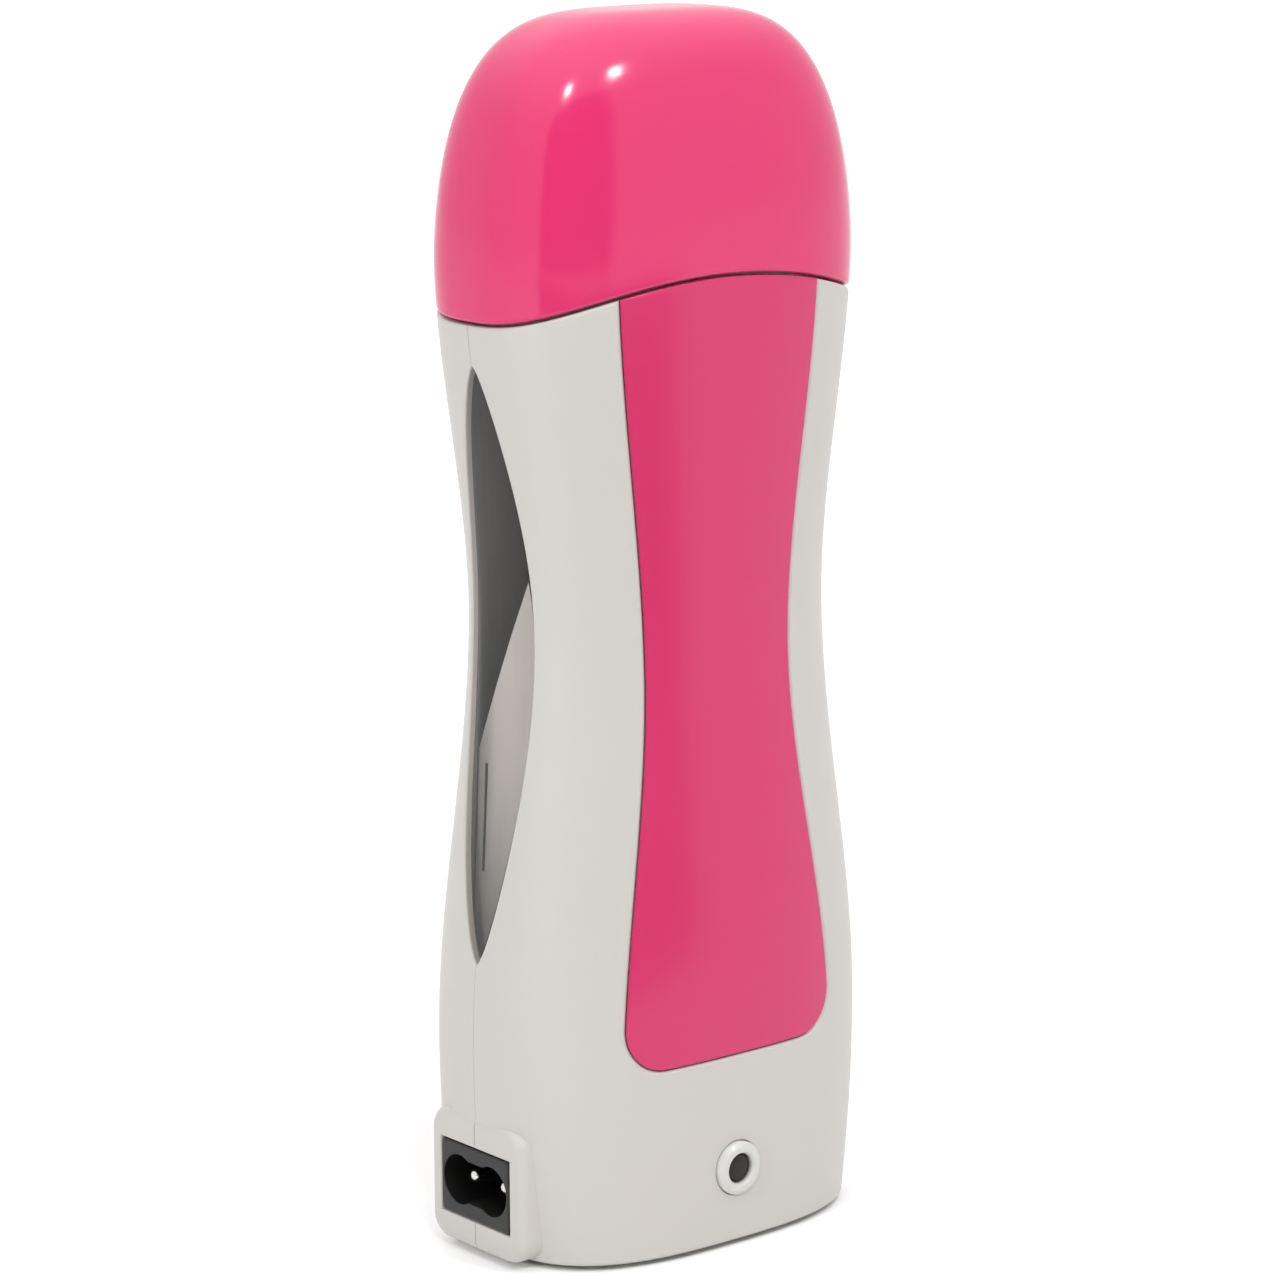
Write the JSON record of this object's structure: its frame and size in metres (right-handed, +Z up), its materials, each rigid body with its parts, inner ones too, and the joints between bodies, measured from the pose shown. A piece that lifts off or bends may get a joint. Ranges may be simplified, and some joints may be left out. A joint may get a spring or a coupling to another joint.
{
  "type": "roll on wax heater",
  "caption": "Hand-held roll-on wax heater with a waisted case, lift-off domed cap, inset panels, level windows, a mains inlet and an indicator lamp.",
  "frame": {"origin": "middle of the case in plan, on the surface that its feet stand on", "axes": "+Z up towards the cap, -Y the front with the indicator lamp, -X the side with the mains inlet"},
  "size_m": [0.077, 0.0492, 0.21],
  "materials": {
    "cap_pink": "glossy moulded ABS",
    "shell_white": "satin moulded ABS",
    "panel_pink": "satin moulded ABS",
    "window_clear": "clear polycarbonate",
    "neck_white": "satin moulded ABS",
    "tray_dark": "heat-proof moulded plastic",
    "plate_metal": "satin sheet",
    "heater_foil": "polyimide film over ceramic",
    "clip_steel": "spring steel",
    "fuse_case": "tinned can",
    "inlet_black": "fine moulded texture",
    "pin_nickel": "nickel-plated brass",
    "bezel_white": "glossy moulded ABS",
    "lamp_tint": "diffused epoxy, unlit",
    "board_brown": "phenolic board",
    "resistor_body": "painted",
    "diode_body": "moulded",
    "screw_steel": "zinc plated",
    "lead_brown": "insulated lead",
    "lead_blue": "insulated lead",
    "lead_white": "insulated lead",
    "lead_red": "insulated lead",
    "foot_rubber": "soft pad"
  },
  "bodies": {
    "body": {"front_shell": "shell_white", "rear_shell": "shell_white", "front_panel": "panel_pink", "rear_panel": "panel_pink", "left_window": "window_clear", "right_window": "window_clear", "neck_ring": "neck_white", "cartridge_tray": "tray_dark", "front_heat_plate": "plate_metal", "rear_heat_plate": "plate_metal", "heating_element": "heater_foil", "heater_clip": "clip_steel", "thermal_fuse": "fuse_case", "inlet_body": "inlet_black", "inlet_pins": "pin_nickel", "indicator_bezel": "bezel_white", "indicator_lamp": "lamp_tint", "indicator_board": "board_brown", "board_resistor": "resistor_body", "board_diode": "diode_body", "board_screws": "screw_steel", "live_lead": "lead_brown", "neutral_lead": "lead_blue", "fuse_lead": "lead_white", "lamp_leads": "lead_red", "case_screws": "screw_steel", "feet": "foot_rubber"},
    "cap": {"cap": "cap_pink"}
  },
  "joints": [
    {"name": "cap_lift", "type": "slide", "parent": "body", "child": "cap", "axis": [0, 0, 1], "range_m": [0, 0.055]}
  ]
}
